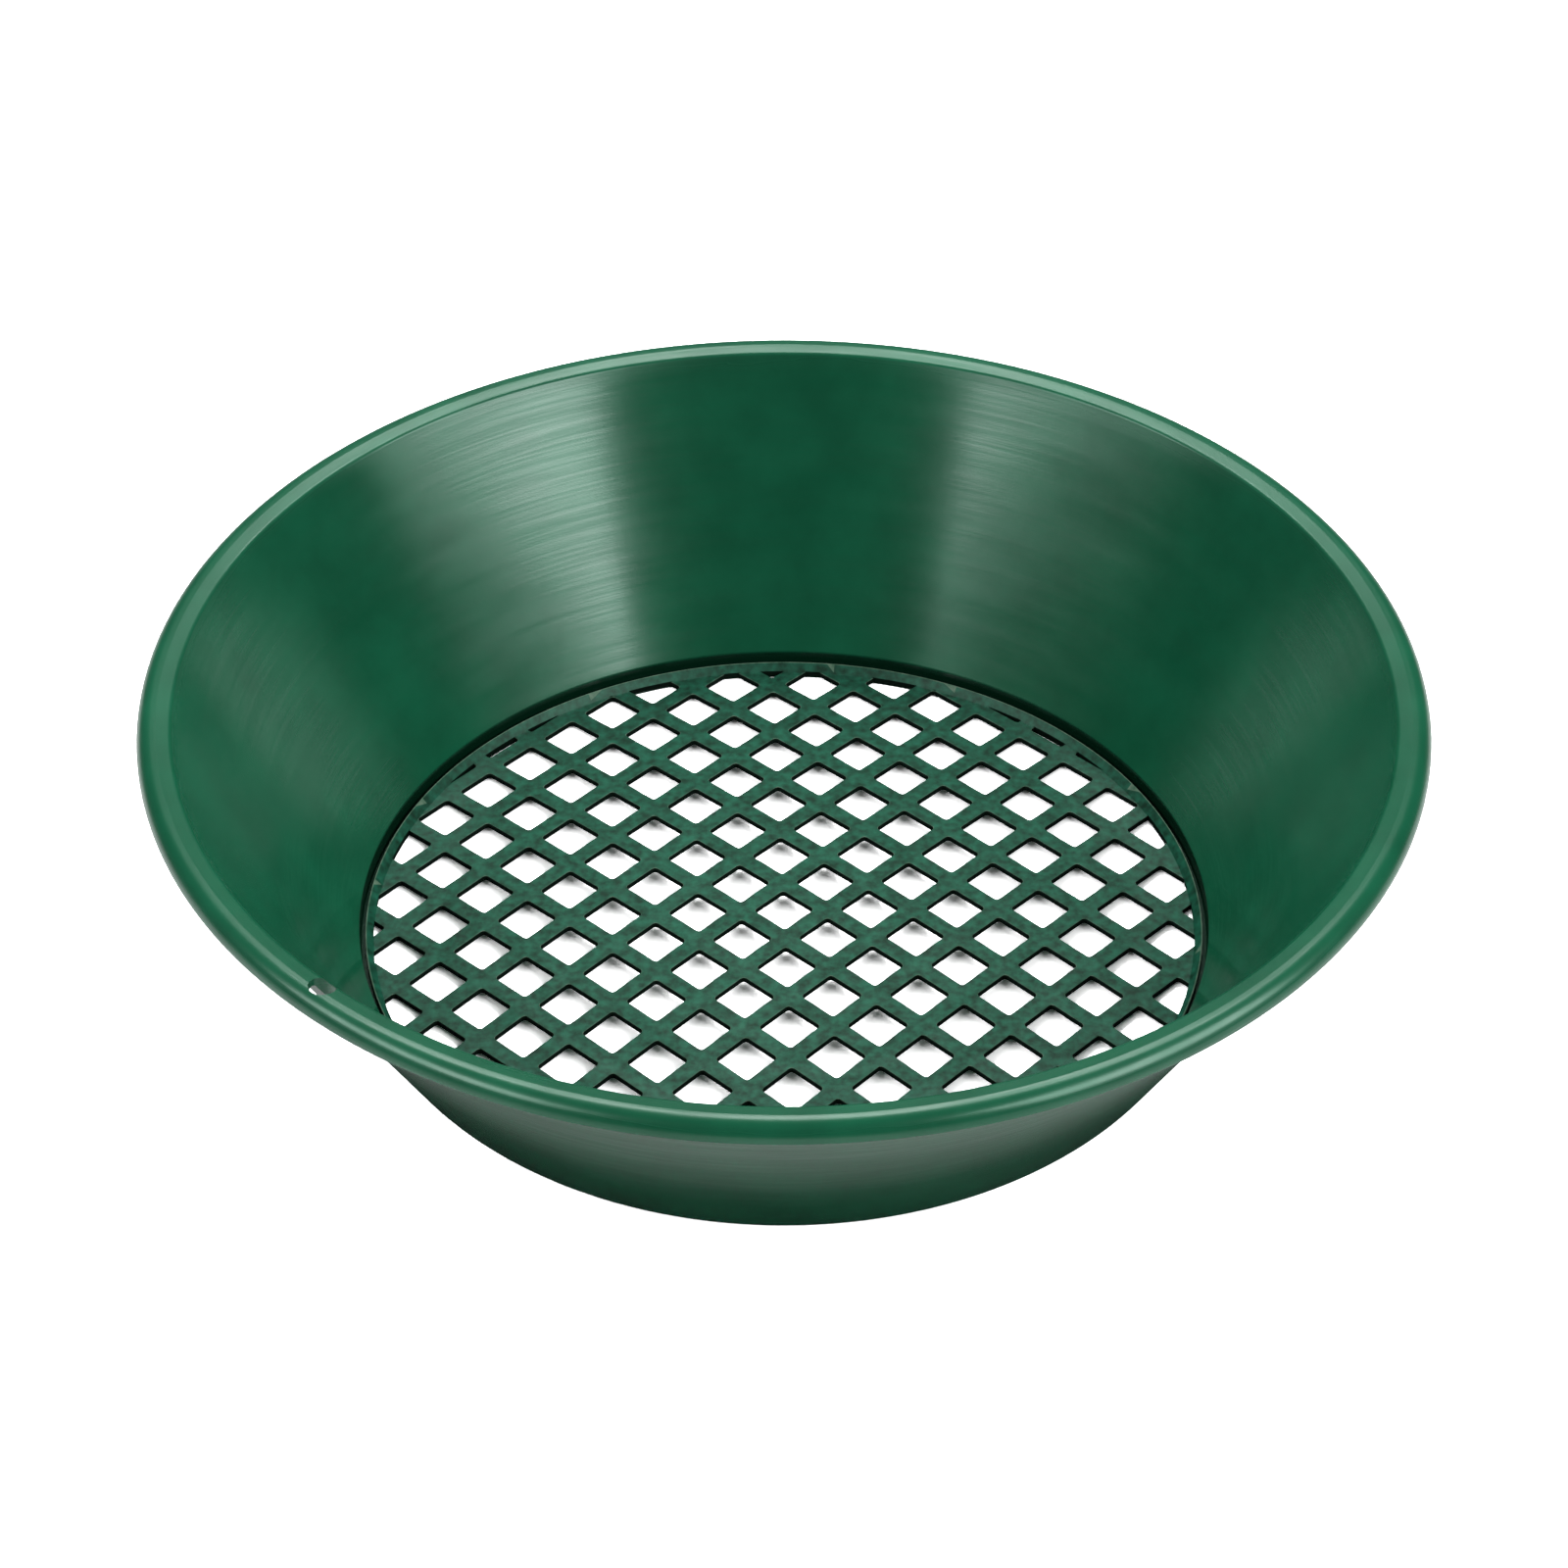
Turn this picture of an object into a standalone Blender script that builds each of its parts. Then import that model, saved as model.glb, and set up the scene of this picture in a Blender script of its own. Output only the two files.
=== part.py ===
"""Sifting gold pan: a moulded dished pan with a turned-down rim, and a domed sieve plate seated in its foot.

Metres, +Z up.  The origin is the centre of the foot ring's underside, so the pan stands on Z = 0.
The front of the pan is -Y, and the hang hole in the rim lies front left.
"""

import math

import bmesh
import bpy
from mathutils import Matrix, Vector

# Pan, outside
RIM_RADIUS = 0.1780           # widest point of the turned-down lip
PAN_HEIGHT = 0.0873           # foot to the crest of the rim
BASE_RADIUS = 0.1226          # outer wall where it meets the ground
WALL_TOP_THICKNESS = 0.0030   # measured level, just under the rim

# Rim
RIM_WIDTH = 0.0095            # mouth edge to the widest point
RIM_THICKNESS = 0.0022
MOUTH_DROP = 0.0007           # the mouth edge lies this far below the crest
CREST_INSET = 0.0055          # crest line in from the widest point
LIP_DEPTH = 0.0053            # crest to the bottom of the lip

# Foot: a pocket for the sieve plate, with a gutter and a sloping seat at its bottom
POCKET_INSET = 0.0008         # pocket wall in from the base radius
WALL_FOOT_HEIGHT = 0.0074     # where the inner wall drops into the pocket
SEAT_HEIGHT = 0.0020          # ground to the gutter, at the top of the seat

# Sieve plate: a domed grid with an upturned edge
PLATE_CLEARANCE = 0.0016      # level gap between the plate and the pocket wall
PLATE_THICKNESS = 0.0020      # measured upright
PLATE_GROUND_GAP = 0.0003     # lowest part of the plate above the ground
SEAT_GAP = 0.0003             # square to the slope, between the plate and its seat
EDGE_WIDTH = 0.0023           # level width of the upturned edge
EDGE_RISE = 0.0025
DOME_RISE = 0.0039            # middle of the grid above its rim
HOLE_SIZE = 0.0122
BAR_WIDTH = 0.00525
GRID_TURN = math.radians(46.8)
CUT_OVERRUN = 0.0003          # cut-off holes run this far past the foot of the upturned edge
SMALLEST_SLOT = 0.0011        # holes that would be cut off narrower than this stay solid

# Hang hole, down through the rim
HANG_HOLE_RADIUS = 0.0037
HANG_HOLE_INSET = 0.0071      # hole centre in from the widest point
HANG_HOLE_ANGLE = math.radians(-133.2)

# Edge radii
MOUTH_EDGE = 0.0015
CREST_EDGE = 0.0020
SHOULDER_EDGE = 0.0043
LIP_EDGE = 0.0006
LIP_INSIDE_EDGE = 0.0010
UNDER_RIM_EDGE = 0.0014
FOOT_EDGE = 0.0013
SEAT_EDGE = 0.0003
WALL_FOOT_EDGE = 0.0008
PLATE_EDGE = 0.0004

# Mesh fineness
TURN_STEPS = 72
EDGE_STEPS = 2
SHOULDER_STEPS = 4
DOME_RINGS = 4
DRILL_STEPS = 24
SMOOTH_ANGLE = math.radians(35)
MERGE = 0.00001

# Worked out from the sizes above
PITCH = HOLE_SIZE + BAR_WIDTH
MOUTH_RADIUS = RIM_RADIUS - RIM_WIDTH
MOUTH_HEIGHT = PAN_HEIGHT - MOUTH_DROP
POCKET_RADIUS = BASE_RADIUS - POCKET_INSET
PLATE_RADIUS = POCKET_RADIUS - PLATE_CLEARANCE
GRID_RADIUS = PLATE_RADIUS - EDGE_WIDTH
HOLE_LIMIT_RADIUS = GRID_RADIUS + CUT_OVERRUN
GRID_LOW_TOP = PLATE_GROUND_GAP + PLATE_THICKNESS

PAN_GREEN = (0.012, 0.118, 0.062, 1.0)
PLATE_GREEN = (0.014, 0.105, 0.058, 1.0)


def clear_scene():
    for thing in list(bpy.data.objects):
        bpy.data.objects.remove(thing, do_unlink=True)


def new_collection(name):
    group = bpy.data.collections.new(name)
    bpy.context.scene.collection.children.link(group)
    return group


def plastic(name, colour, roughness):
    material = bpy.data.materials.new(name)
    material.use_nodes = True
    shader = material.node_tree.nodes["Principled BSDF"]
    shader.inputs["Base Color"].default_value = colour
    shader.inputs["Roughness"].default_value = roughness
    shader.inputs["Metallic"].default_value = 0.0
    return material


def new_object(name, bm, group, material=None):
    """Turn a bmesh into a linked object."""
    mesh = bpy.data.meshes.new(name)
    bm.to_mesh(mesh)
    bm.free()
    thing = bpy.data.objects.new(name, mesh)
    if material:
        mesh.materials.append(material)
    group.objects.link(thing)
    return thing


def make_cutter(thing):
    thing.hide_render = True
    thing.display_type = "WIRE"
    return thing


def boolean(thing, cutter, operation):
    modifier = thing.modifiers.new(cutter.name, "BOOLEAN")
    modifier.operation = operation
    modifier.solver = "EXACT"
    modifier.object = cutter


def rounded_loop(corners):
    """Replace each (radius, height, edge radius, steps) corner of a closed outline by an arc of its own."""
    points = []
    count = len(corners)
    for index, (x, z, edge, steps) in enumerate(corners):
        corner = Vector((x, z))
        if edge == 0:
            points.append(corner)
            continue
        before = (Vector(corners[index - 1][:2]) - corner).normalized()
        after = (Vector(corners[(index + 1) % count][:2]) - corner).normalized()
        half = before.angle(after) / 2
        tangent = edge / math.tan(half)
        centre = corner + (before + after).normalized() * edge / math.sin(half)
        start = (corner + before * tangent - centre).normalized()
        finish = (corner + after * tangent - centre).normalized()
        for step in range(steps + 1):
            points.append(centre + edge * start.slerp(finish, step / steps))
    return points


def turned(name, outline, group, material):
    """A closed outline turned once about Z with a Screw modifier."""
    bm = bmesh.new()
    verts = [bm.verts.new((point.x, 0.0, point.y)) for point in outline]
    for index, vert in enumerate(verts):
        bm.edges.new((vert, verts[(index + 1) % len(verts)]))
    thing = new_object(name, bm, group, material)
    screw = thing.modifiers.new("Turn", "SCREW")
    screw.axis = "Z"
    screw.angle = math.tau
    screw.steps = TURN_STEPS
    screw.render_steps = TURN_STEPS
    screw.use_merge_vertices = True
    screw.merge_threshold = MERGE
    return thing


def cylinder(name, radius, low, high, steps, group):
    bm = bmesh.new()
    bmesh.ops.create_cone(bm, cap_ends=True, segments=steps, radius1=radius, radius2=radius, depth=high - low)
    bmesh.ops.translate(bm, verts=bm.verts, vec=(0.0, 0.0, (high + low) / 2))
    return new_object(name, bm, group)


def inner_wall_radius(height):
    """Level radius of the inner wall face, which runs straight from the pocket to the mouth."""
    share = (height - WALL_FOOT_HEIGHT) / (MOUTH_HEIGHT - WALL_FOOT_HEIGHT)
    return POCKET_RADIUS + share * (MOUTH_RADIUS - POCKET_RADIUS)


def seat_radius(height):
    """The seat runs alongside the slope of the plate's upturned edge, SEAT_GAP away from it."""
    run_per_rise = EDGE_WIDTH / EDGE_RISE
    level_gap = SEAT_GAP * math.hypot(1, run_per_rise)
    return GRID_RADIUS + level_gap + (height - PLATE_GROUND_GAP) * run_per_rise


def pan_outline():
    """Closed section of the pan: over the rim, down the outer wall, under the foot and up the inside."""
    lip_bottom = PAN_HEIGHT - LIP_DEPTH
    under_rim = PAN_HEIGHT - RIM_THICKNESS
    lip_inside = RIM_RADIUS - RIM_THICKNESS
    wall_outside = inner_wall_radius(under_rim) + WALL_TOP_THICKNESS
    return rounded_loop([
        (MOUTH_RADIUS, MOUTH_HEIGHT, MOUTH_EDGE, EDGE_STEPS),
        (RIM_RADIUS - CREST_INSET, PAN_HEIGHT, CREST_EDGE, 1),
        (RIM_RADIUS, PAN_HEIGHT, SHOULDER_EDGE, SHOULDER_STEPS),
        (RIM_RADIUS, lip_bottom, LIP_EDGE, 1),
        (lip_inside, lip_bottom, LIP_EDGE, 1),
        (lip_inside, under_rim, LIP_INSIDE_EDGE, 1),
        (wall_outside, under_rim, UNDER_RIM_EDGE, 1),
        (BASE_RADIUS, 0.0, FOOT_EDGE, EDGE_STEPS),
        (seat_radius(0.0), 0.0, SEAT_EDGE, 1),
        (seat_radius(SEAT_HEIGHT), SEAT_HEIGHT, 0, 1),
        (POCKET_RADIUS, SEAT_HEIGHT, 0, 1),
        (POCKET_RADIUS, WALL_FOOT_HEIGHT, WALL_FOOT_EDGE, EDGE_STEPS),
    ])


def build_pan(parts, cutters):
    """Wall, rim and foot in one moulding, with the hang hole through its rim."""
    pan = turned("pan_body", pan_outline(), parts, plastic("pan plastic", PAN_GREEN, 0.32))
    below = PAN_HEIGHT - LIP_DEPTH - RIM_THICKNESS
    above = PAN_HEIGHT + RIM_THICKNESS
    drill = make_cutter(cylinder("hang_hole_drill", HANG_HOLE_RADIUS, below, above, DRILL_STEPS, cutters))
    reach = RIM_RADIUS - HANG_HOLE_INSET
    drill.location = (reach * math.cos(HANG_HOLE_ANGLE), reach * math.sin(HANG_HOLE_ANGLE), 0.0)
    boolean(pan, drill, "DIFFERENCE")
    return pan


def dome_lift(radius):
    """Height of the domed grid over its own rim."""
    return DOME_RISE * (1 - (radius / GRID_RADIUS) ** 2)


def plate_outline():
    """Closed section of the plate, from inside the middle hole out to the edge and back underneath."""
    core = HOLE_SIZE / 4
    radii = [core + (GRID_RADIUS - core) * ring / DOME_RINGS for ring in range(DOME_RINGS + 1)]
    top = [(radius, GRID_LOW_TOP + dome_lift(radius), 0, 1) for radius in radii]
    bottom = [(radius, PLATE_GROUND_GAP + dome_lift(radius), 0, 1) for radius in reversed(radii)]
    edge = [
        (PLATE_RADIUS, GRID_LOW_TOP + EDGE_RISE, PLATE_EDGE, 1),
        (PLATE_RADIUS, PLATE_GROUND_GAP + EDGE_RISE, PLATE_EDGE, 1),
    ]
    return rounded_loop(top + edge + bottom)


def hole_cutters(group):
    """One square prism for each hole, cut off just past the line where the plate's edge turns up."""
    cells = math.ceil(GRID_RADIUS / PITCH) + 1
    turn = Matrix.Rotation(GRID_TURN, 4, "Z")
    size = Matrix.Diagonal((HOLE_SIZE, HOLE_SIZE, PAN_HEIGHT, 1.0))
    half = HOLE_SIZE / 2
    bm = bmesh.new()
    for column in range(-cells, cells + 1):
        for row in range(-cells, cells + 1):
            nearest = Vector((max(abs(column) * PITCH - half, 0), max(abs(row) * PITCH - half, 0))).length
            if nearest > HOLE_LIMIT_RADIUS - SMALLEST_SLOT:
                continue
            centre = Matrix.Translation((column * PITCH, row * PITCH, 0.0))
            bmesh.ops.create_cube(bm, size=1.0, matrix=turn @ centre @ size)
    prisms = make_cutter(new_object("hole_prisms", bm, group))
    limit = make_cutter(cylinder("hole_limit", HOLE_LIMIT_RADIUS, -PAN_HEIGHT, PAN_HEIGHT, TURN_STEPS, group))
    limit.rotation_euler.z = math.pi / TURN_STEPS   # half a facet, so that no two edges fall in line
    boolean(prisms, limit, "INTERSECT")
    return prisms


def build_plate(parts, cutters):
    """Round domed plate with a grid of square holes inside an upturned edge."""
    plate = turned("sieve_plate", plate_outline(), parts, plastic("plate plastic", PLATE_GREEN, 0.45))
    boolean(plate, hole_cutters(cutters), "DIFFERENCE")
    return plate


def main():
    clear_scene()
    parts = new_collection("gold_pan")
    cutters = new_collection("cutters")
    frame = bpy.data.objects.new("gold_pan_frame", None)
    parts.objects.link(frame)
    for piece in (build_pan(parts, cutters), build_plate(parts, cutters)):
        piece.parent = frame
        piece.data.shade_smooth()
        piece.data.set_sharp_from_angle(angle=SMOOTH_ANGLE)


main()
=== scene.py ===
# Sifting gold pan in green moulded plastic, on a pale studio floor.
# Metres, +Z up, the pan's axis on Z and its foot on Z = 0.

import math

import bmesh
import bpy
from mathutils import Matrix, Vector


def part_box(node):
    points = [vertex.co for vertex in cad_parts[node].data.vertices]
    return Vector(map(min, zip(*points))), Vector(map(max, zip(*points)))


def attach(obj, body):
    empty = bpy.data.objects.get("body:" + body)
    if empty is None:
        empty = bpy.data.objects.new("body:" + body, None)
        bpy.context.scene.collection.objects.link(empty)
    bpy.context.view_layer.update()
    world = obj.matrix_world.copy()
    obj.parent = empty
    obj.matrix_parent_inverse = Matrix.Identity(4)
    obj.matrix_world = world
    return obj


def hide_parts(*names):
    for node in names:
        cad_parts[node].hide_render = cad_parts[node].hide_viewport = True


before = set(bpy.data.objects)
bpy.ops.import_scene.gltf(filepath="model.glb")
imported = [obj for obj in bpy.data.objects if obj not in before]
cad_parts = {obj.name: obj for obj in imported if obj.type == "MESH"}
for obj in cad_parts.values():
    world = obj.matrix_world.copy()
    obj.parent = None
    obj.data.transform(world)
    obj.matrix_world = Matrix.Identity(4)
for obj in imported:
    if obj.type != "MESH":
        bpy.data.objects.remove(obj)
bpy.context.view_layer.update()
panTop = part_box("pan_body")[1]
plateLow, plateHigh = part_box("sieve_plate")


# small helpers for selecting, cutting and finishing

def deselectAll():
    if bpy.context.object and bpy.context.object.mode != "OBJECT":
        bpy.ops.object.mode_set(mode="OBJECT")
    bpy.ops.object.select_all(action="DESELECT")


def selectOnly(thing):
    deselectAll()
    thing.select_set(True)
    bpy.context.view_layer.objects.active = thing


def pick(thing, kind, test):
    # in edit mode, selects the verts, edges or faces that pass the test
    bpy.ops.mesh.select_mode(type=kind)
    bpy.ops.mesh.select_all(action="DESELECT")
    mesh = bmesh.from_edit_mesh(thing.data)
    parts = {"VERT": mesh.verts, "EDGE": mesh.edges, "FACE": mesh.faces}[kind]
    for part in parts:
        part.select_set(test(part))
    mesh.select_flush_mode()
    bmesh.update_edit_mesh(thing.data)


def editMode(thing):
    selectOnly(thing)
    bpy.ops.object.mode_set(mode="EDIT")


def extrudeUp(rise):
    bpy.ops.mesh.extrude_region_move(TRANSFORM_OT_translate={"value": (0, 0, rise)})


def growAcross(factor):
    bpy.ops.transform.resize(value=(factor, factor, 1), center_override=(0, 0, 0))


def applyModifiers(thing):
    selectOnly(thing)
    for modifier in list(thing.modifiers):
        bpy.ops.object.modifier_apply(modifier=modifier.name)


def applyPlace(thing):
    selectOnly(thing)
    bpy.ops.object.transform_apply(location=True, rotation=True, scale=True)


def addCylinder(sides, radius, depth, place):
    deselectAll()
    bpy.ops.mesh.primitive_cylinder_add(vertices=sides, radius=radius, depth=depth, location=place)
    return bpy.context.object


def cutWith(thing, cutter, operation="DIFFERENCE"):
    modifier = thing.modifiers.new("Cut", "BOOLEAN")
    modifier.operation = operation
    modifier.solver = "EXACT"
    modifier.object = cutter
    applyModifiers(thing)
    bpy.data.objects.remove(cutter, do_unlink=True)


finishing = {
    "mergeDistance": 0.000004,
    "sliver": 0.000002,
    "smoothAngle": 32,
    "normalWeight": 60,
}


def finishMesh(thing):
    # merges what a cut left double, then smooths by angle with weighted normals
    editMode(thing)
    bpy.ops.mesh.select_mode(type="VERT")
    bpy.ops.mesh.select_all(action="SELECT")
    bpy.ops.mesh.remove_doubles(threshold=finishing["mergeDistance"])
    bpy.ops.mesh.dissolve_degenerate(threshold=finishing["sliver"])
    bpy.ops.mesh.select_all(action="SELECT")
    bpy.ops.mesh.normals_make_consistent(inside=False)
    bpy.ops.object.mode_set(mode="OBJECT")
    bpy.ops.object.shade_smooth_by_angle(angle=math.radians(finishing["smoothAngle"]))
    weighted = thing.modifiers.new("Weighted normals", "WEIGHTED_NORMAL")
    weighted.keep_sharp = True
    weighted.weight = finishing["normalWeight"]
    applyModifiers(thing)


def sectionFrom(name, corners):
    # a plane merged to one vertex, extruded from corner to corner; a corner is (radius, height)
    deselectAll()
    bpy.ops.mesh.primitive_plane_add(size=0.001, location=(0, 0, 0))
    thing = bpy.context.object
    thing.name = name
    bpy.ops.object.mode_set(mode="EDIT")
    bpy.ops.mesh.select_all(action="SELECT")
    bpy.ops.mesh.merge(type="CENTER")
    bpy.ops.transform.translate(value=(corners[0][0], 0, corners[0][1]))
    for before, after in zip(corners, corners[1:]):
        step = (after[0] - before[0], 0, after[1] - before[1])
        bpy.ops.mesh.extrude_region_move(TRANSFORM_OT_translate={"value": step})
    ends = [Vector((radius, 0, height)) for radius, height in (corners[0], corners[-1])]
    pick(thing, "VERT", lambda vert: min((vert.co - end).length for end in ends) < 1e-6)
    bpy.ops.mesh.edge_face_add()
    return thing


def roundCorner(thing, corners, index, radius, segments):
    # the bevel's offset is measured along the outline, so it follows from the corner's angle
    here = Vector(corners[index])
    back = (Vector(corners[index - 1]) - here).normalized()
    ahead = (Vector(corners[(index + 1) % len(corners)]) - here).normalized()
    offset = radius / math.tan(back.angle(ahead) / 2)
    place = Vector((here.x, 0, here.y))
    pick(thing, "VERT", lambda vert: (vert.co - place).length < 1e-6)
    bpy.ops.mesh.bevel(offset=offset, offset_type="OFFSET", segments=segments, affect="VERTICES")


def spinSection(turns):
    bpy.ops.mesh.select_all(action="SELECT")
    bpy.ops.mesh.spin(steps=turns, angle=math.tau, center=(0, 0, 0), axis=(0, 0, 1))
    bpy.ops.mesh.select_all(action="SELECT")
    bpy.ops.mesh.remove_doubles(threshold=finishing["sliver"])
    bpy.ops.mesh.normals_make_consistent(inside=False)
    bpy.ops.object.mode_set(mode="OBJECT")


# pan body: sloping wall, turned-down rim and foot ring, one moulding

pan = {
    "rimRadius": panTop.x,
    "height": panTop.z,
    "baseRadius": 0.1226,
    "rimWidth": 0.0095,
    "rimThickness": 0.0022,
    "mouthDrop": 0.0007,
    "crestInset": 0.0055,
    "lipDepth": 0.0053,
    "wallTop": 0.0030,
    "pocketInset": 0.0008,
    "wallFoot": 0.0074,
    "seatHeight": 0.0020,
    "holeRadius": 0.0037,
    "holeInset": 0.0071,
    "holeAngle": -133.2,
    "holeSides": 64,
    "turns": 288,
}

# each corner of the section, in order round it: rounding radius, segments
panRounding = {
    "mouth": (0.0015, 6),
    "crest": (0.0020, 4),
    "shoulder": (0.0043, 12),
    "lipFront": (0.0006, 4),
    "lipBack": (0.0006, 4),
    "lipRoot": (0.0010, 4),
    "wallRoot": (0.0014, 5),
    "footOutside": (0.0013, 5),
    "footInside": (0.0003, 2),
    "seatTop": (0.0002, 2),
    "pocketFloor": (0.0004, 3),
    "pocketTop": (0.0008, 5),
}

plate = {
    "radius": plateHigh.x,
    "groundGap": plateLow.z,
    "thickness": 0.0020,
    "edgeWidth": 0.0023,
    "edgeRise": 0.0025,
    "edgeRounding": 0.00045,
    "domeRise": 0.0039,
    "seatGap": 0.0003,
    "holeSize": 0.0122,
    "barWidth": 0.00525,
    "gridTurn": 46.8,
    "cutOverrun": 0.0003,       # the grid is cut this far past the fold of the edge
    "smallestSlot": 0.0011,
    "holeCorner": 0.0009,
    "holeLip": 0.00022,
    "lipSteps": (30, 60, 90),   # the rounded lip, in degrees of its quarter turn
    "highlightWidth": 0.0009,
    "turns": 288,
}

panMouthRadius = pan["rimRadius"] - pan["rimWidth"]
panMouthHeight = pan["height"] - pan["mouthDrop"]
pocketRadius = pan["baseRadius"] - pan["pocketInset"]
gridRadius = plate["radius"] - plate["edgeWidth"]
gridPitch = plate["holeSize"] + plate["barWidth"]
gridLimit = gridRadius + plate["cutOverrun"]


def seatRadius(height):
    # the seat runs level with the plate's edge, a small gap outside it
    slope = plate["edgeWidth"] / plate["edgeRise"]
    gap = plate["seatGap"] * math.hypot(1, slope)
    return gridRadius + gap + (height - plate["groundGap"]) * slope


def panSection():
    lipBottom = pan["height"] - pan["lipDepth"]
    underRim = pan["height"] - pan["rimThickness"]
    lipInside = pan["rimRadius"] - pan["rimThickness"]
    share = (underRim - pan["wallFoot"]) / (panMouthHeight - pan["wallFoot"])
    wallOutside = pocketRadius + share * (panMouthRadius - pocketRadius) + pan["wallTop"]
    return {
        "mouth": (panMouthRadius, panMouthHeight),
        "crest": (pan["rimRadius"] - pan["crestInset"], pan["height"]),
        "shoulder": (pan["rimRadius"], pan["height"]),
        "lipFront": (pan["rimRadius"], lipBottom),
        "lipBack": (lipInside, lipBottom),
        "lipRoot": (lipInside, underRim),
        "wallRoot": (wallOutside, underRim),
        "footOutside": (pan["baseRadius"], 0.0),
        "footInside": (seatRadius(0.0), 0.0),
        "seatTop": (seatRadius(pan["seatHeight"]), pan["seatHeight"]),
        "pocketFloor": (pocketRadius, pan["seatHeight"]),
        "pocketTop": (pocketRadius, pan["wallFoot"]),
    }


def makePan():
    section = panSection()
    corners = list(section.values())
    body = sectionFrom("panBody", corners)
    for index, corner in enumerate(section):
        radius, segments = panRounding[corner]
        roundCorner(body, corners, index, radius, segments)
    spinSection(pan["turns"])

    # hang hole, straight down through the rim
    reach = pan["rimRadius"] - pan["holeInset"]
    angle = math.radians(pan["holeAngle"])
    place = (reach * math.cos(angle), reach * math.sin(angle), pan["height"])
    cutWith(body, addCylinder(pan["holeSides"], pan["holeRadius"], 4 * pan["lipDepth"], place))
    finishMesh(body)
    return body


# sieve plate: domed grid of square holes with an upturned edge

def makeHoleCutter():
    # one square hole: rounded corners, and a lip that opens out above and below
    size, lip, thick = plate["holeSize"], plate["holeLip"], plate["thickness"]
    deselectAll()
    bpy.ops.mesh.primitive_cube_add(size=1, location=(0, 0, thick / 2))
    cutter = bpy.context.object
    cutter.scale = (size, size, thick - 2 * lip)
    applyPlace(cutter)
    editMode(cutter)
    pick(cutter, "EDGE", lambda edge: abs(edge.verts[0].co.z - edge.verts[1].co.z) > lip)
    bpy.ops.mesh.bevel(offset=plate["holeCorner"], segments=3, affect="EDGES")
    for side in (1, -1):
        end = thick / 2 + side * (thick / 2 - lip)
        pick(cutter, "FACE", lambda face: abs(face.calc_center_median().z - end) < lip / 10)
        done = 0
        wide = size
        for step in plate["lipSteps"] if side > 0 else plate["lipSteps"][-1:]:
            turn = math.radians(step)
            rise = lip * math.sin(turn)
            grown = size + 2 * lip * (1 - math.cos(turn))
            extrudeUp(side * (rise - done))
            growAcross(grown / wide)
            done, wide = rise, grown
        extrudeUp(side * lip)
    bpy.ops.object.mode_set(mode="OBJECT")
    return cutter


def makeHoles():
    # the hole copied over the grid, then cut off round the plate's edge
    first = makeHoleCutter()
    cells = math.ceil(gridRadius / gridPitch) + 1
    half = plate["holeSize"] / 2
    copies = []
    for column in range(-cells, cells + 1):
        for row in range(-cells, cells + 1):
            x, y = column * gridPitch, row * gridPitch
            nearest = math.hypot(max(abs(x) - half, 0), max(abs(y) - half, 0))
            if nearest > gridLimit - plate["smallestSlot"]:
                continue
            copy = first.copy()
            copy.data = first.data.copy()
            copy.location = (x, y, 0)
            bpy.context.collection.objects.link(copy)
            copies.append(copy)
    bpy.data.objects.remove(first, do_unlink=True)
    deselectAll()
    for copy in copies:
        copy.select_set(True)
    bpy.context.view_layer.objects.active = copies[0]
    bpy.ops.object.join()
    holes = bpy.context.object
    holes.name = "holes"
    applyPlace(holes)
    holes.rotation_euler.z = math.radians(plate["gridTurn"])
    applyPlace(holes)

    # half a facet's turn keeps this cylinder's corners off the plate's
    limit = addCylinder(plate["turns"], gridLimit, 10 * plate["thickness"], (0, 0, plate["thickness"] / 2))
    limit.rotation_euler.z = math.pi / plate["turns"]
    applyPlace(limit)
    cutWith(holes, limit, "INTERSECT")
    return holes


def makePlate():
    # a flat disc first, its side drawn out and up into the edge
    thick, outer = plate["thickness"], plate["radius"]
    disc = addCylinder(plate["turns"], gridRadius, thick, (0, 0, thick / 2))
    disc.name = "sievePlate"
    applyPlace(disc)
    editMode(disc)
    pick(disc, "FACE", lambda face: abs(face.normal.z) < 0.5)
    extrudeUp(plate["edgeRise"])
    growAcross(outer / gridRadius)

    # the outer rim's two corners are softened
    def isOuterRim(edge):
        low, high = edge.verts[0].co, edge.verts[1].co
        far = min(low.xy.length, high.xy.length) > outer - 0.0001
        return far and abs(low.z - high.z) < 0.0001
    pick(disc, "EDGE", isOuterRim)
    bpy.ops.mesh.bevel(offset=plate["edgeRounding"], segments=3, affect="EDGES")

    # bisected along the middle of each bar, so that the dome can bend the flats evenly
    turn = math.radians(plate["gridTurn"])
    cells = math.ceil(gridRadius / gridPitch)
    across = Vector((math.cos(turn), math.sin(turn), 0))
    along = Vector((-math.sin(turn), math.cos(turn), 0))
    for direction in (across, along):
        for line in range(-cells, cells):
            offset = (line + 0.5) * gridPitch
            if abs(offset) > gridRadius - 0.001:
                continue
            bpy.ops.mesh.select_all(action="SELECT")
            bpy.ops.mesh.bisect(plane_co=direction * offset, plane_no=direction)
    bpy.ops.object.mode_set(mode="OBJECT")
    cutWith(disc, makeHoles())

    raiseDome(disc)
    disc.location = (0, 0, plate["groundGap"])
    applyPlace(disc)
    finishMesh(disc)
    return disc


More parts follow.
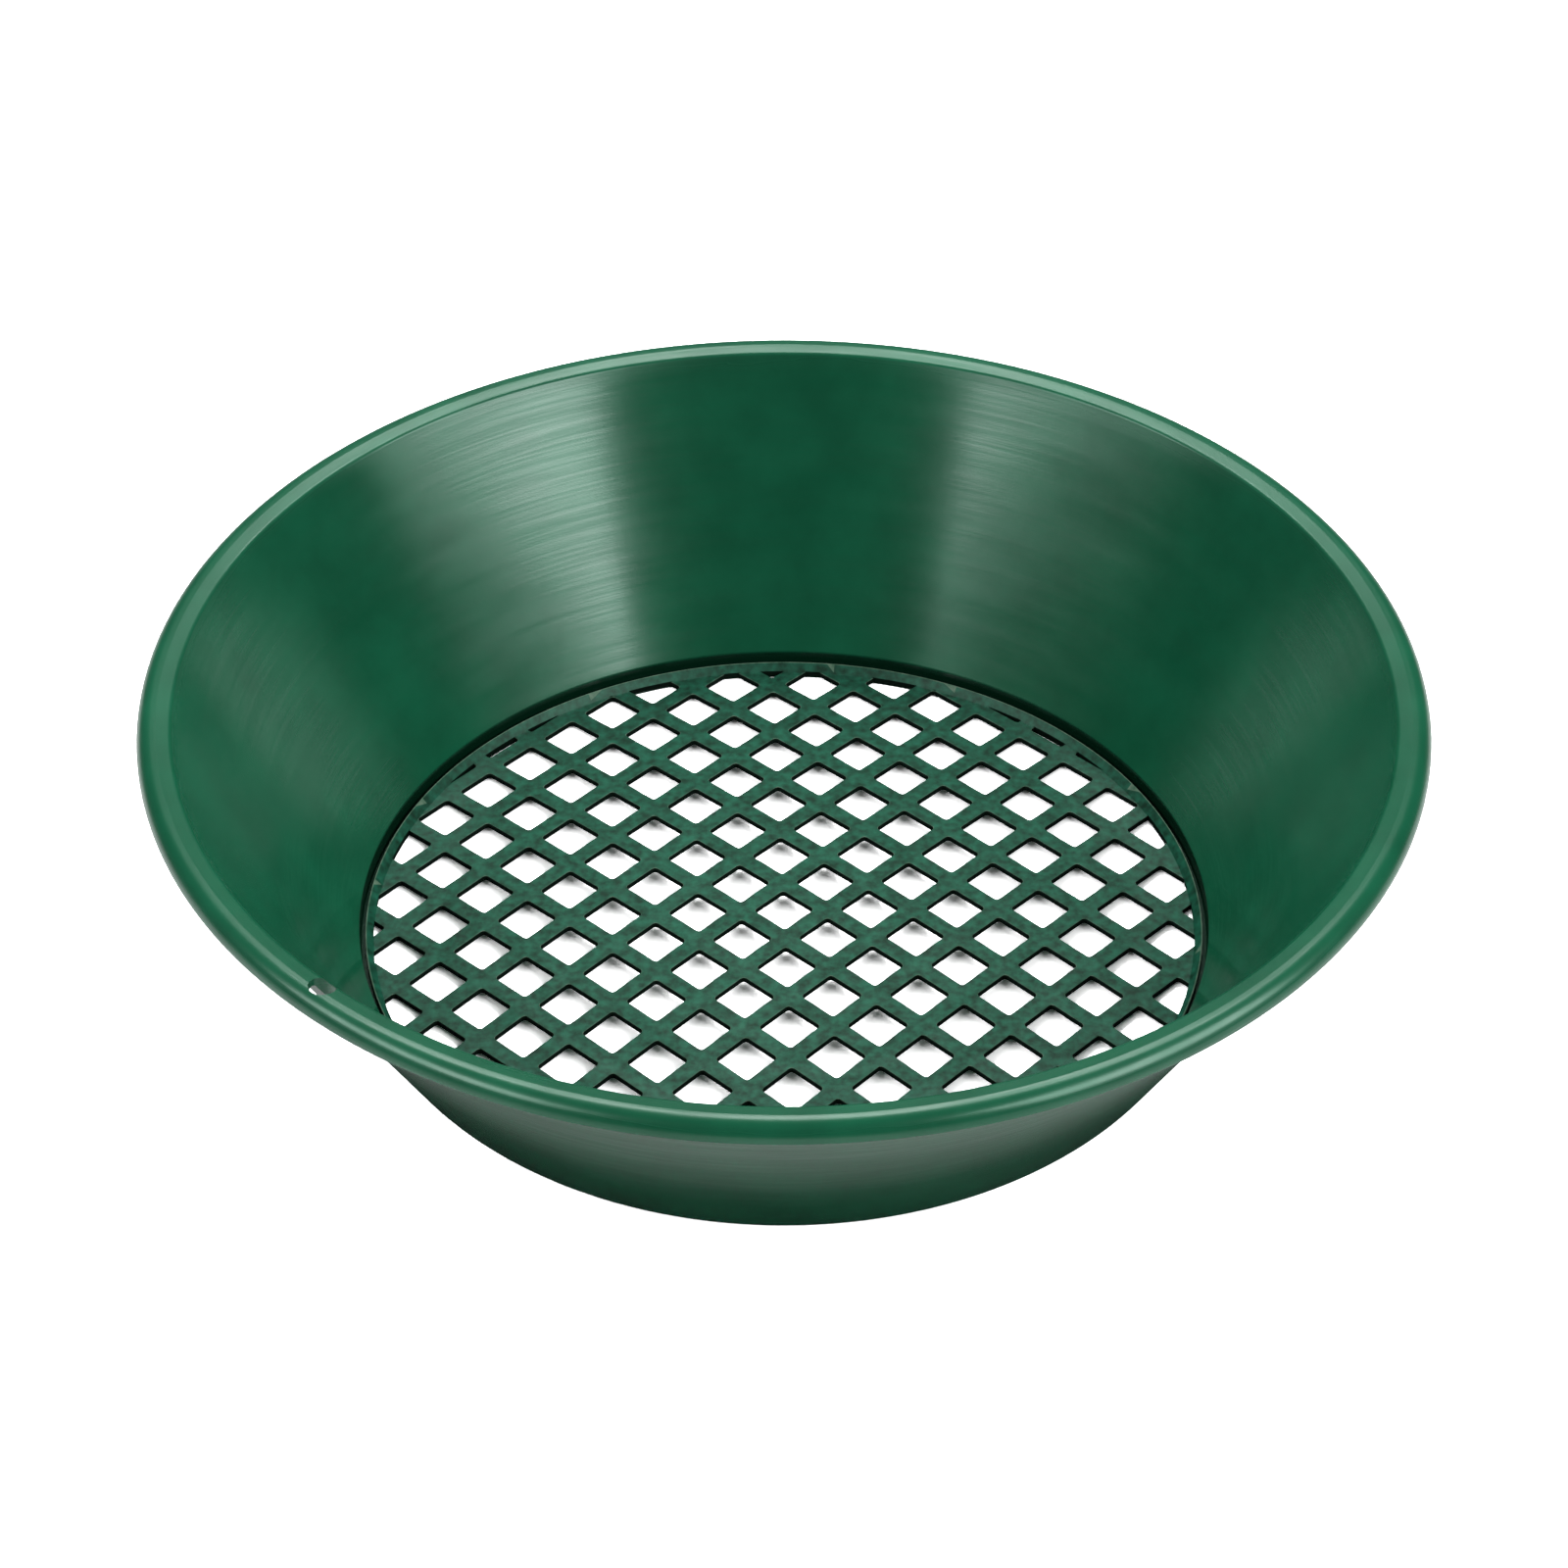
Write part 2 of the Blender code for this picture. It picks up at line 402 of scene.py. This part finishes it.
def raiseDome(disc):
    # lifted by two loose verts at the middle of its faces; this falloff is one less the square of the
    # way out, so the grid swells evenly and the edge outside its fold stays as it is
    editMode(disc)
    bpy.ops.mesh.select_mode(type="VERT")
    for height in (0, plate["thickness"]):
        bpy.ops.mesh.select_all(action="DESELECT")
        bpy.ops.mesh.primitive_plane_add(size=0.001, location=(0, 0, height))
        bpy.ops.mesh.merge(type="CENTER")
    pick(disc, "VERT", lambda vert: vert.co.xy.length < 1e-6)
    bpy.ops.transform.translate(
        value=(0, 0, plate["domeRise"]), use_proportional_edit=True, proportional_size=gridRadius,
        proportional_edit_falloff="INVERSE_SQUARE")
    pick(disc, "VERT", lambda vert: vert.co.xy.length < 1e-6)
    bpy.ops.mesh.delete(type="VERT")
    bpy.ops.object.mode_set(mode="OBJECT")


def markPlateFaces(disc):
    # slot 1 is the near-black inside of the holes, a painted shade; slot 2 a painted highlight on the holes'
    # upper lips and on the plate's outer rim
    paintedShadeSlot, paintedHighlightSlot = 1, 2
    for face in disc.data.polygons:
        reach = face.center.xy.length
        if reach > gridLimit + plate["holeLip"]:
            # the upward faces of the plate's outer rim take the painted highlight
            highlighted = reach > plate["radius"] - plate["highlightWidth"] and face.normal.z > 0.2
            face.material_index = paintedHighlightSlot if highlighted else 0
        # the hole walls take the painted shade
        elif face.normal.z < 0.3:
            face.material_index = paintedShadeSlot
        elif face.normal.z < 0.95 and reach < gridRadius:
            face.material_index = paintedHighlightSlot


# node helpers

def newGroup(name, inputs, outputs):
    group = bpy.data.node_groups.new(name, "ShaderNodeTree")
    for label, kind, value in inputs:
        socket = group.interface.new_socket(name=label, in_out="INPUT", socket_type=kind)
        if value is not None:
            socket.default_value = value
    for label in outputs:
        group.interface.new_socket(name=label, in_out="OUTPUT", socket_type="NodeSocketFloat")
    return group, group.nodes.new("NodeGroupInput"), group.nodes.new("NodeGroupOutput")


def placeGroup(tree, group, vector, values):
    node = tree.nodes.new("ShaderNodeGroup")
    node.node_tree = group
    for label, value in values.items():
        node.inputs[label].default_value = value
    tree.links.new(vector, node.inputs["Vector"])
    return node.outputs


def plug(tree, value, socket):
    # a number or colour goes into the socket, anything else is linked to it
    if isinstance(value, (int, float, tuple)):
        socket.default_value = value
    else:
        tree.links.new(value, socket)


def mathNode(tree, operation, *values):
    node = tree.nodes.new("ShaderNodeMath")
    node.operation = operation
    for slot, value in enumerate(values):
        plug(tree, value, node.inputs[slot])
    return node.outputs[0]


def noiseNode(tree, vector, scale, detail, roughness=0.5):
    node = tree.nodes.new("ShaderNodeTexNoise")
    plug(tree, scale, node.inputs["Scale"])
    node.inputs["Detail"].default_value = detail
    node.inputs["Roughness"].default_value = roughness
    tree.links.new(vector, node.inputs["Vector"])
    return node.outputs["Fac"]


def mapRange(tree, value, low, high, toLow=0.0, toHigh=1.0):
    node = tree.nodes.new("ShaderNodeMapRange")
    for label, amount in (("From Min", low), ("From Max", high), ("To Min", toLow), ("To Max", toHigh)):
        node.inputs[label].default_value = amount
    tree.links.new(value, node.inputs["Value"])
    return node.outputs["Result"]


def mixColour(tree, amount, first, second):
    node = tree.nodes.new("ShaderNodeMix")
    node.data_type = "RGBA"
    for slot, value in ((0, amount), (6, first), (7, second)):    # factor, A and B of a colour mix
        plug(tree, value, node.inputs[slot])
    return node.outputs[2]


def bumpNode(tree, height, distance):
    node = tree.nodes.new("ShaderNodeBump")
    node.inputs["Distance"].default_value = distance
    tree.links.new(height, node.inputs["Height"])
    return node


# what the noises in the two shared groups are made of
markNoise = {
    "fineDetail": 4.0,
    "fineRoughness": 0.7,
    "broadDetail": 3.0,
    "broadRoughness": 0.6,
    "broadShare": 0.12,
}
mottleNoise = {
    "cloudDetail": 4.0,
    "grainDetail": 2.0,
}


def makeTurningMarks():
    # fine rings left by the mould's turned steel: a noise drawn out round the axis
    group, start, end = newGroup(
        "turningMarks",
        [("Vector", "NodeSocketVector", None), ("Rings", "NodeSocketFloat", 900.0),
         ("Round", "NodeSocketFloat", 3.0)],
        ["Fine", "Broad", "Radius"])
    split = group.nodes.new("ShaderNodeSeparateXYZ")
    group.links.new(start.outputs["Vector"], split.inputs[0])
    x, y, z = split.outputs
    squares = mathNode(group, "ADD", mathNode(group, "MULTIPLY", x, x), mathNode(group, "MULTIPLY", y, y))
    radius = mathNode(group, "SQRT", squares)
    group.links.new(radius, end.inputs["Radius"])
    notZero = mathNode(group, "MAXIMUM", radius, 0.001)
    climb = mathNode(group, "ADD", radius, z)
    drawn = group.nodes.new("ShaderNodeCombineXYZ")
    for slot, part in enumerate((x, y)):
        direction = mathNode(group, "DIVIDE", part, notZero)
        group.links.new(mathNode(group, "MULTIPLY", direction, start.outputs["Round"]), drawn.inputs[slot])
    group.links.new(mathNode(group, "MULTIPLY", climb, start.outputs["Rings"]), drawn.inputs[2])
    fine = noiseNode(group, drawn.outputs[0], 1.0, markNoise["fineDetail"], markNoise["fineRoughness"])
    group.links.new(fine, end.inputs["Fine"])
    wide = group.nodes.new("ShaderNodeVectorMath")
    wide.operation = "MULTIPLY"
    wide.inputs[1].default_value = (1.0, 1.0, markNoise["broadShare"])
    group.links.new(drawn.outputs[0], wide.inputs[0])
    broad = noiseNode(group, wide.outputs[0], 1.0, markNoise["broadDetail"], markNoise["broadRoughness"])
    group.links.new(broad, end.inputs["Broad"])
    return group


def makeMottle():
    # slow cloudiness of the pigment, and fine grain
    group, start, end = newGroup(
        "mottle",
        [("Vector", "NodeSocketVector", None), ("Cloud Size", "NodeSocketFloat", 60.0),
         ("Grain Size", "NodeSocketFloat", 900.0)],
        ["Cloud", "Grain"])
    vector = start.outputs["Vector"]
    cloud = noiseNode(group, vector, start.outputs["Cloud Size"], mottleNoise["cloudDetail"])
    grain = noiseNode(group, vector, start.outputs["Grain Size"], mottleNoise["grainDetail"])
    group.links.new(cloud, end.inputs["Cloud"])
    group.links.new(grain, end.inputs["Grain"])
    return group


# finishes; colours are linear, depths in metres, rings, cloud and grain are noise scales

panPlastic = {
    "deep": (0.0019, 0.0340, 0.0158, 1.0),
    "pale": (0.0028, 0.0465, 0.0222, 1.0),
    # the next colour is painted shade, darkening the pocket round the plate
    "paintedGrooveShade": (0.0006, 0.0090, 0.0042, 1.0),
    "tint": (0.66, 1.0, 0.84, 1.0),
    "specular": 0.37,
    "roughness": 0.17,
    "roughnessSpread": 0.06,
    "rimRoughness": 0.10,
    "anisotropic": 0.50,
    "streaks": 0.35,
    "rings": 850.0,
    "around": 2.6,
    "ringDepth": 0.000012,
    "cloud": 45.0,
    "grain": 2600.0,
    "grainDepth": 0.000002,
}

platePlastic = {
    "deep": (0.0006, 0.0090, 0.0042, 1.0),
    "pale": (0.0042, 0.0450, 0.0260, 1.0),
    "paintedGrooveShade": None,
    "tint": (0.66, 1.0, 0.84, 1.0),
    "specular": 0.20,
    "roughness": 0.42,
    "roughnessSpread": 0.12,
    "rimRoughness": 0.0,
    "anisotropic": 0.0,
    "streaks": 0.0,
    "rings": 1200.0,
    "around": 2.0,
    "ringDepth": 0.000001,
    "cloud": 420.0,
    "grain": 1500.0,
    "grainDepth": 0.000012,
}

# near-black hole walls: painted shade, the inside of each hole darkened as if in shadow
holeShadePlastic = dict(
    platePlastic,
    deep=(0.0002, 0.0015, 0.0008, 1.0),
    pale=(0.0004, 0.0030, 0.0015, 1.0),
    roughness=0.60,
    specular=0.10)

# paler hole lips and plate rim: a painted highlight where the rounded upper edges catch the light
highlightPlastic = dict(
    platePlastic,
    deep=(0.0200, 0.0500, 0.0300, 1.0),
    pale=(0.0600, 0.0900, 0.0650, 1.0),
    roughness=0.50)

# where the painted shade in the pocket, the polished streaks and the rim's roughness begin and end
panZones = {
    "paintedShadeTop": pan["wallFoot"] + 0.0004,
    "paintedShadeFull": pan["wallFoot"] - 0.0008,
    "paintedShadeOutside": pocketRadius + 0.0014,
    "paintedShadeInside": pocketRadius + 0.0006,
    "streakFrom": 0.42,
    "streakFull": 0.70,
    "streakRoughness": 0.16,
    "rimFrom": pan["height"] - pan["lipDepth"],
    "rimFull": pan["height"] - 0.001,
    "noiseLow": 0.3,
    "noiseHigh": 0.7,
}


def makePlastic(name, finish, marks, mottle):
    material = bpy.data.materials.new(name)
    material.use_nodes = True
    tree = material.node_tree
    shader = tree.nodes["Principled BSDF"]
    place = tree.nodes.new("ShaderNodeTexCoord").outputs["Object"]
    rings = placeGroup(tree, marks, place, {"Rings": finish["rings"], "Round": finish["around"]})
    specks = placeGroup(tree, mottle, place, {"Cloud Size": finish["cloud"], "Grain Size": finish["grain"]})
    low, high = panZones["noiseLow"], panZones["noiseHigh"]

    base = mixColour(tree, mapRange(tree, specks["Cloud"], low, high), finish["deep"], finish["pale"])
    split = tree.nodes.new("ShaderNodeSeparateXYZ")
    tree.links.new(place, split.inputs[0])
    height = split.outputs["Z"]
    if finish["paintedGrooveShade"]:
        # painted shade: the pocket round the plate is darkened where shade falls in it
        down = mapRange(tree, height, panZones["paintedShadeTop"], panZones["paintedShadeFull"])
        inside = mapRange(tree, rings["Radius"], panZones["paintedShadeOutside"], panZones["paintedShadeInside"])
        base = mixColour(tree, mathNode(tree, "MULTIPLY", down, inside), base, finish["paintedGrooveShade"])
    tree.links.new(base, shader.inputs["Base Color"])

    rough = mapRange(tree, rings["Broad"], low, high,
                     finish["roughness"], finish["roughness"] + finish["roughnessSpread"])
    rim = mapRange(tree, height, panZones["rimFrom"], panZones["rimFull"], 0.0, finish["rimRoughness"])
    tree.links.new(mathNode(tree, "ADD", rough, rim), shader.inputs["Roughness"])
    if finish["streaks"]:
        # polished lines, where the mould's turned steel was smoother
        streak = mapRange(tree, rings["Fine"], panZones["streakFrom"], panZones["streakFull"],
                          0.0, finish["streaks"])
        tree.links.new(streak, shader.inputs["Coat Weight"])
        shader.inputs["Coat Roughness"].default_value = panZones["streakRoughness"]

    shader.inputs["Specular IOR Level"].default_value = finish["specular"]
    shader.inputs["Specular Tint"].default_value = finish["tint"]
    shader.inputs["Anisotropic"].default_value = finish["anisotropic"]
    shader.inputs["Anisotropic Rotation"].default_value = 0.25    # a quarter turn: across the rings
    tangent = tree.nodes.new("ShaderNodeTangent")
    tangent.direction_type = "RADIAL"
    tangent.axis = "Z"
    tree.links.new(tangent.outputs[0], shader.inputs["Tangent"])

    ringBump = bumpNode(tree, rings["Fine"], finish["ringDepth"])
    grainBump = bumpNode(tree, specks["Grain"], finish["grainDepth"])
    tree.links.new(ringBump.outputs[0], grainBump.inputs["Normal"])
    tree.links.new(grainBump.outputs[0], shader.inputs["Normal"])
    return material


# studio: floor, softboxes, sky and camera

studio = {
    "lens": 98.63,
    "sensor": 36.0,
    "cameraPlace": (0.0, -0.94106, 0.80899),
    "lookAt": (0.0, 0.0, 0.0526),
    "floorSize": 12.0,
    "floorRoughness": 0.35,
    "floorLit": (0.90, 0.90, 0.90, 1.0),
    "floorSeen": (1.75, 1.75, 1.75, 1.0),
    "floorShade": (0.02, 0.02, 0.02, 1.0),
    "floorReflected": (0.50, 0.50, 0.50, 1.0),
    "shadeRadius": 0.130,
    "clearRadius": 0.147,
    "skyDiffuse": 0.45,
    "skyGloss": 0.04,
    "boxDistance": 1.6,
    "boxTarget": (0.0, 0.0, 0.05),
}

# each softbox: compass angle from +X, height angle, width, height, roll, watts, shows in gloss
softboxes = {
    "rightBox": (-28.5, 38.0, 1.20, 0.80, 4.0, 37.0, True),
    "leftBox": (-151.5, 39.5, 1.20, 0.56, -2.0, 23.0, True),
    "crestBox": (90.0, 55.0, 0.90, 0.34, 0.0, 13.0, True),
    "backBox": (90.0, 50.0, 0.60, 0.60, 0.0, 40.0, False),
}


def aim(place, target):
    return (Vector(target) - Vector(place)).to_track_quat("-Z", "Y").to_euler()


def makeFloor():
    deselectAll()
    bpy.ops.mesh.primitive_plane_add(size=studio["floorSize"], location=(0, 0, 0))
    floor = bpy.context.object
    floor.name = "studioFloor"
    paint = bpy.data.materials.new("studio floor")
    paint.use_nodes = True
    tree = paint.node_tree
    shader = tree.nodes["Principled BSDF"]
    path = tree.nodes.new("ShaderNodeLightPath")
    away = tree.nodes.new("ShaderNodeVectorMath")
    away.operation = "LENGTH"
    tree.links.new(tree.nodes.new("ShaderNodeTexCoord").outputs["Object"], away.inputs[0])
    # over-lit where it is looked at; in the plastic's gloss it is dim, with a painted shadow close in under
    # the flare
    clear = mapRange(tree, away.outputs["Value"], studio["shadeRadius"], studio["clearRadius"])
    dim = mixColour(tree, clear, studio["floorShade"], studio["floorReflected"])
    felt = mixColour(tree, path.outputs["Is Glossy Ray"], studio["floorLit"], dim)
    seen = mixColour(tree, path.outputs["Is Camera Ray"], felt, studio["floorSeen"])
    tree.links.new(seen, shader.inputs["Base Color"])
    shader.inputs["Roughness"].default_value = studio["floorRoughness"]
    floor.data.materials.append(paint)


def makeSoftboxes():
    for name, (compass, rise, width, height, roll, watts, shines) in softboxes.items():
        lamp = bpy.data.lights.new(name, "AREA")
        lamp.shape = "RECTANGLE"
        lamp.size = width
        lamp.size_y = height
        lamp.energy = watts
        box = bpy.data.objects.new(name, lamp)
        turn, climb = math.radians(compass), math.radians(rise)
        level = math.cos(climb)
        direction = Vector((math.cos(turn) * level, math.sin(turn) * level, math.sin(climb)))
        box.location = direction * studio["boxDistance"]
        box.rotation_euler = aim(box.location, studio["boxTarget"])
        box.rotation_euler.rotate_axis("Z", math.radians(roll))
        box.visible_glossy = shines
        bpy.context.scene.collection.objects.link(box)


def makeSky():
    # pale for the eye and for soft fill, nearly dark in the gloss
    world = bpy.data.worlds.new("studio world")
    world.use_nodes = True
    tree = world.node_tree
    sky = tree.nodes["Background"]
    sky.inputs["Color"].default_value = (1.0, 1.0, 1.0, 1.0)
    path = tree.nodes.new("ShaderNodeLightPath")
    strength = mapRange(tree, path.outputs["Is Glossy Ray"], 0.0, 1.0,
                        studio["skyDiffuse"], studio["skyGloss"])
    strength = mathNode(tree, "MAXIMUM", strength, path.outputs["Is Camera Ray"])
    tree.links.new(strength, sky.inputs["Strength"])
    bpy.context.scene.world = world


def makeCamera():
    camera = bpy.data.cameras.new("camera")
    camera.lens = studio["lens"]
    camera.sensor_width = studio["sensor"]
    eye = bpy.data.objects.new("camera", camera)
    eye.location = studio["cameraPlace"]
    eye.rotation_euler = aim(studio["cameraPlace"], studio["lookAt"])
    bpy.context.scene.collection.objects.link(eye)
    bpy.context.scene.camera = eye
    bpy.context.scene.view_settings.view_transform = "Standard"


makeFloor()
makeSoftboxes()
makeSky()
makeCamera()
print("studio ready")

panBody = makePan()
print("pan body ready:", len(panBody.data.polygons), "faces")
sievePlate = makePlate()
print("sieve plate ready:", len(sievePlate.data.polygons), "faces")

turningMarks = makeTurningMarks()
mottle = makeMottle()
finishes = {
    panBody: [("pan_plastic", panPlastic)],
    sievePlate: [("plate_plastic", platePlastic), ("hole walls painted shade", holeShadePlastic),
                 ("hole edges painted highlight", highlightPlastic)],
}
for piece, layers in finishes.items():
    piece.data.materials.clear()
    for name, finish in layers:
        piece.data.materials.append(makePlastic(name, finish, turningMarks, mottle))
markPlateFaces(sievePlate)
print("materials ready")

for piece, node, slot in ((panBody, "pan_body", "pan_plastic"), (sievePlate, "sieve_plate", "plate_plastic")):
    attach(piece, "root")
    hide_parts(node)
print("pieces placed on the frame")
